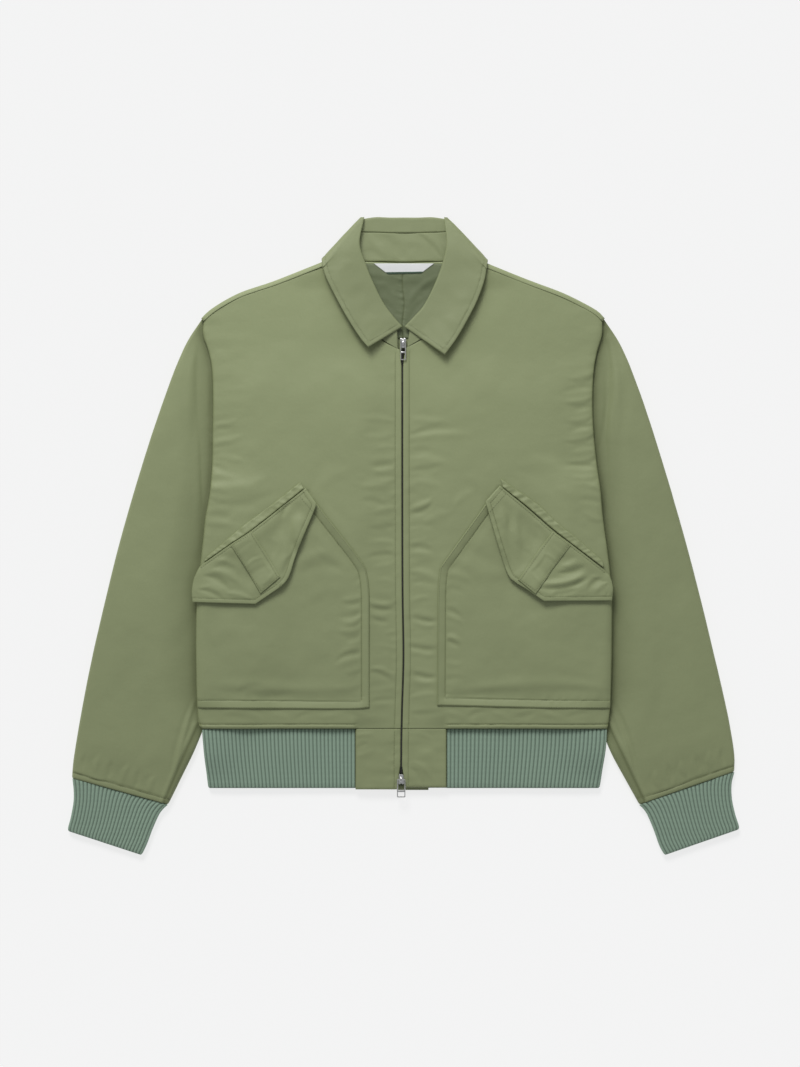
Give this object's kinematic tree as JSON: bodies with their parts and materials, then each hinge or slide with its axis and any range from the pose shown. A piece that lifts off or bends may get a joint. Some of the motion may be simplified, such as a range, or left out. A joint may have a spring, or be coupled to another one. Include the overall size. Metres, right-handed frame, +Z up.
{
  "type": "bomber jacket",
  "caption": "Lightly padded zip-front bomber jacket laid flat, with fold-down collar, angled flap pockets and rib-knit cuffs and hem.",
  "frame": {"origin": "centre of the flat-laid jacket's footprint, on the surface it rests on", "axes": "+Z up out of the jacket's front, +Y towards the collar, +X towards the wearer's left sleeve"},
  "size_m": [0.8601, 0.8182, 0.0238],
  "materials": {
    "back": "smooth nylon with a soft sheen",
    "front_right": "smooth nylon with a soft sheen",
    "front_left": "smooth nylon with a soft sheen",
    "sleeve_right": "smooth nylon with a soft sheen",
    "sleeve_left": "smooth nylon with a soft sheen",
    "cuff_right": "matt rib knit",
    "cuff_left": "matt rib knit",
    "rib_hem": "matt rib knit",
    "hem_tab_right": "smooth nylon with a soft sheen",
    "hem_tab_left": "smooth nylon with a soft sheen",
    "collar_fall": "smooth nylon with a soft sheen",
    "collar_stand": "smooth nylon with a soft sheen",
    "back_lining": "smooth lining twill",
    "neck_label": "blank woven tape",
    "pocket_right": "smooth nylon with a soft sheen",
    "pocket_left": "smooth nylon with a soft sheen",
    "flap_right": "smooth nylon with a soft sheen",
    "flap_left": "smooth nylon with a soft sheen",
    "flap_strap_right": "smooth nylon with a soft sheen",
    "flap_strap_left": "smooth nylon with a soft sheen",
    "flap_welt_right": "smooth nylon with a soft sheen",
    "flap_welt_left": "smooth nylon with a soft sheen",
    "zip_tape": "woven zip tape",
    "zip_chain": "dark gunmetal teeth, satin",
    "zip_guard": "smooth nylon with a soft sheen",
    "slider_top": "bright nickel plate",
    "slider_bottom": "bright nickel plate",
    "pull_top": "bright nickel plate",
    "pull_bottom": "bright nickel plate"
  },
  "bodies": {
    "jacket": {"back": "back", "front_right": "front_right", "front_left": "front_left", "sleeve_right": "sleeve_right", "sleeve_left": "sleeve_left", "cuff_right": "cuff_right", "cuff_left": "cuff_left", "rib_hem": "rib_hem", "hem_tab_right": "hem_tab_right", "hem_tab_left": "hem_tab_left", "collar_fall": "collar_fall", "collar_stand": "collar_stand", "back_lining": "back_lining", "neck_label": "neck_label", "pocket_right": "pocket_right", "pocket_left": "pocket_left", "flap_right": "flap_right", "flap_left": "flap_left", "flap_strap_right": "flap_strap_right", "flap_strap_left": "flap_strap_left", "flap_welt_right": "flap_welt_right", "flap_welt_left": "flap_welt_left", "zip_tape": "zip_tape", "zip_chain": "zip_chain", "zip_guard": "zip_guard", "slider_top": "slider_top", "slider_bottom": "slider_bottom"},
    "top_pull": {"pull_top": "pull_top"},
    "bottom_pull": {"pull_bottom": "pull_bottom"}
  },
  "joints": [
    {"name": "top_pull_hinge", "type": "hinge", "parent": "jacket", "child": "top_pull", "pos_m": [-0.0005, 0.247, 0.0134], "axis": [-1, 0, 0], "range_deg": [0, 150]},
    {"name": "bottom_pull_hinge", "type": "hinge", "parent": "jacket", "child": "bottom_pull", "pos_m": [-0.003, -0.3115, 0.0134], "axis": [-1, 0, 0], "range_deg": [0, 165]}
  ]
}
